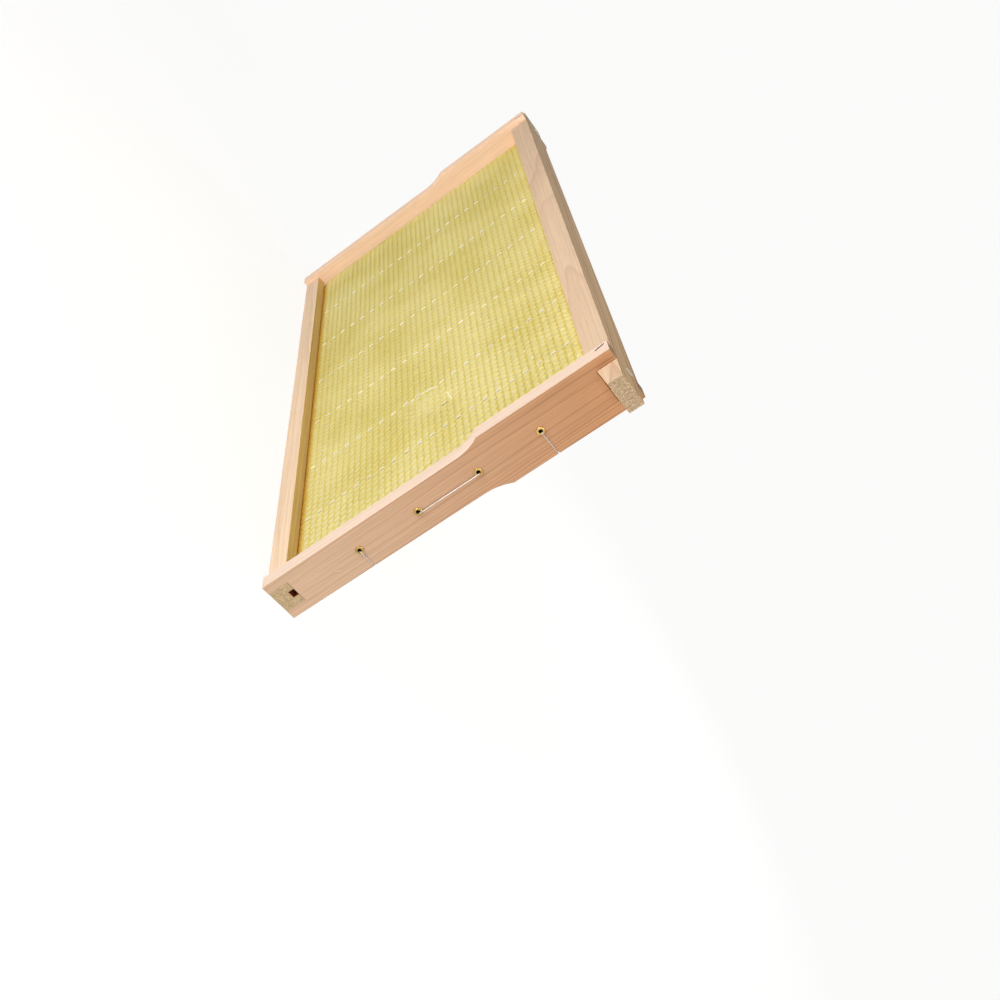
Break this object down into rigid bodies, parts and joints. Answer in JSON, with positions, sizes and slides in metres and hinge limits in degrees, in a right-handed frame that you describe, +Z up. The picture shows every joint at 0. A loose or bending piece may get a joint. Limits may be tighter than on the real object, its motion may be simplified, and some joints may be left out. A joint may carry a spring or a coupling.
{
  "type": "beehive frame",
  "caption": "Wooden deep hive frame with a wired wax foundation sheet, self-spacing end bars and lugs that hang it in a hive box.",
  "frame": {"origin": "middle of the frame's length and thickness, level with the underside of the bottom bar", "axes": "+X along the top bar towards the end bar that carries the wire tacks, +Y through the comb's thickness, +Z up from the bottom bar to the top bar"},
  "size_m": [0.483, 0.035, 0.2327],
  "materials": {
    "top_bar_wood": "planed, bare",
    "bottom_bar_wood": "planed, bare",
    "end_bar_wood": "planed, bare",
    "beeswax": "embossed beeswax, soft sheen",
    "eyelet_brass": "polished",
    "wire_steel": "bright tinned",
    "staple_steel": "galvanised"
  },
  "bodies": {
    "root": {"top_bar": "top_bar_wood", "bottom_bar": "bottom_bar_wood", "end_bar_right": "end_bar_wood", "end_bar_left": "end_bar_wood", "wax_foundation": "beeswax", "frame_wire": "wire_steel", "foundation_wire_1": "wire_steel", "foundation_wire_2": "wire_steel", "foundation_wire_3": "wire_steel", "foundation_wire_4": "wire_steel", "foundation_wire_5": "wire_steel", "foundation_wire_6": "wire_steel", "eyelet_right_1": "eyelet_brass", "eyelet_right_2": "eyelet_brass", "eyelet_right_3": "eyelet_brass", "eyelet_right_4": "eyelet_brass", "eyelet_left_1": "eyelet_brass", "eyelet_left_2": "eyelet_brass", "eyelet_left_3": "eyelet_brass", "eyelet_left_4": "eyelet_brass", "top_staple_right": "staple_steel", "top_staple_left": "staple_steel", "bottom_staple_right": "staple_steel", "bottom_staple_left": "staple_steel", "ear_staple_right_front": "staple_steel", "ear_staple_right_back": "staple_steel", "ear_staple_left_front": "staple_steel", "ear_staple_left_back": "staple_steel", "wire_tack_lower": "staple_steel", "wire_tack_upper": "staple_steel"}
  },
  "joints": []
}
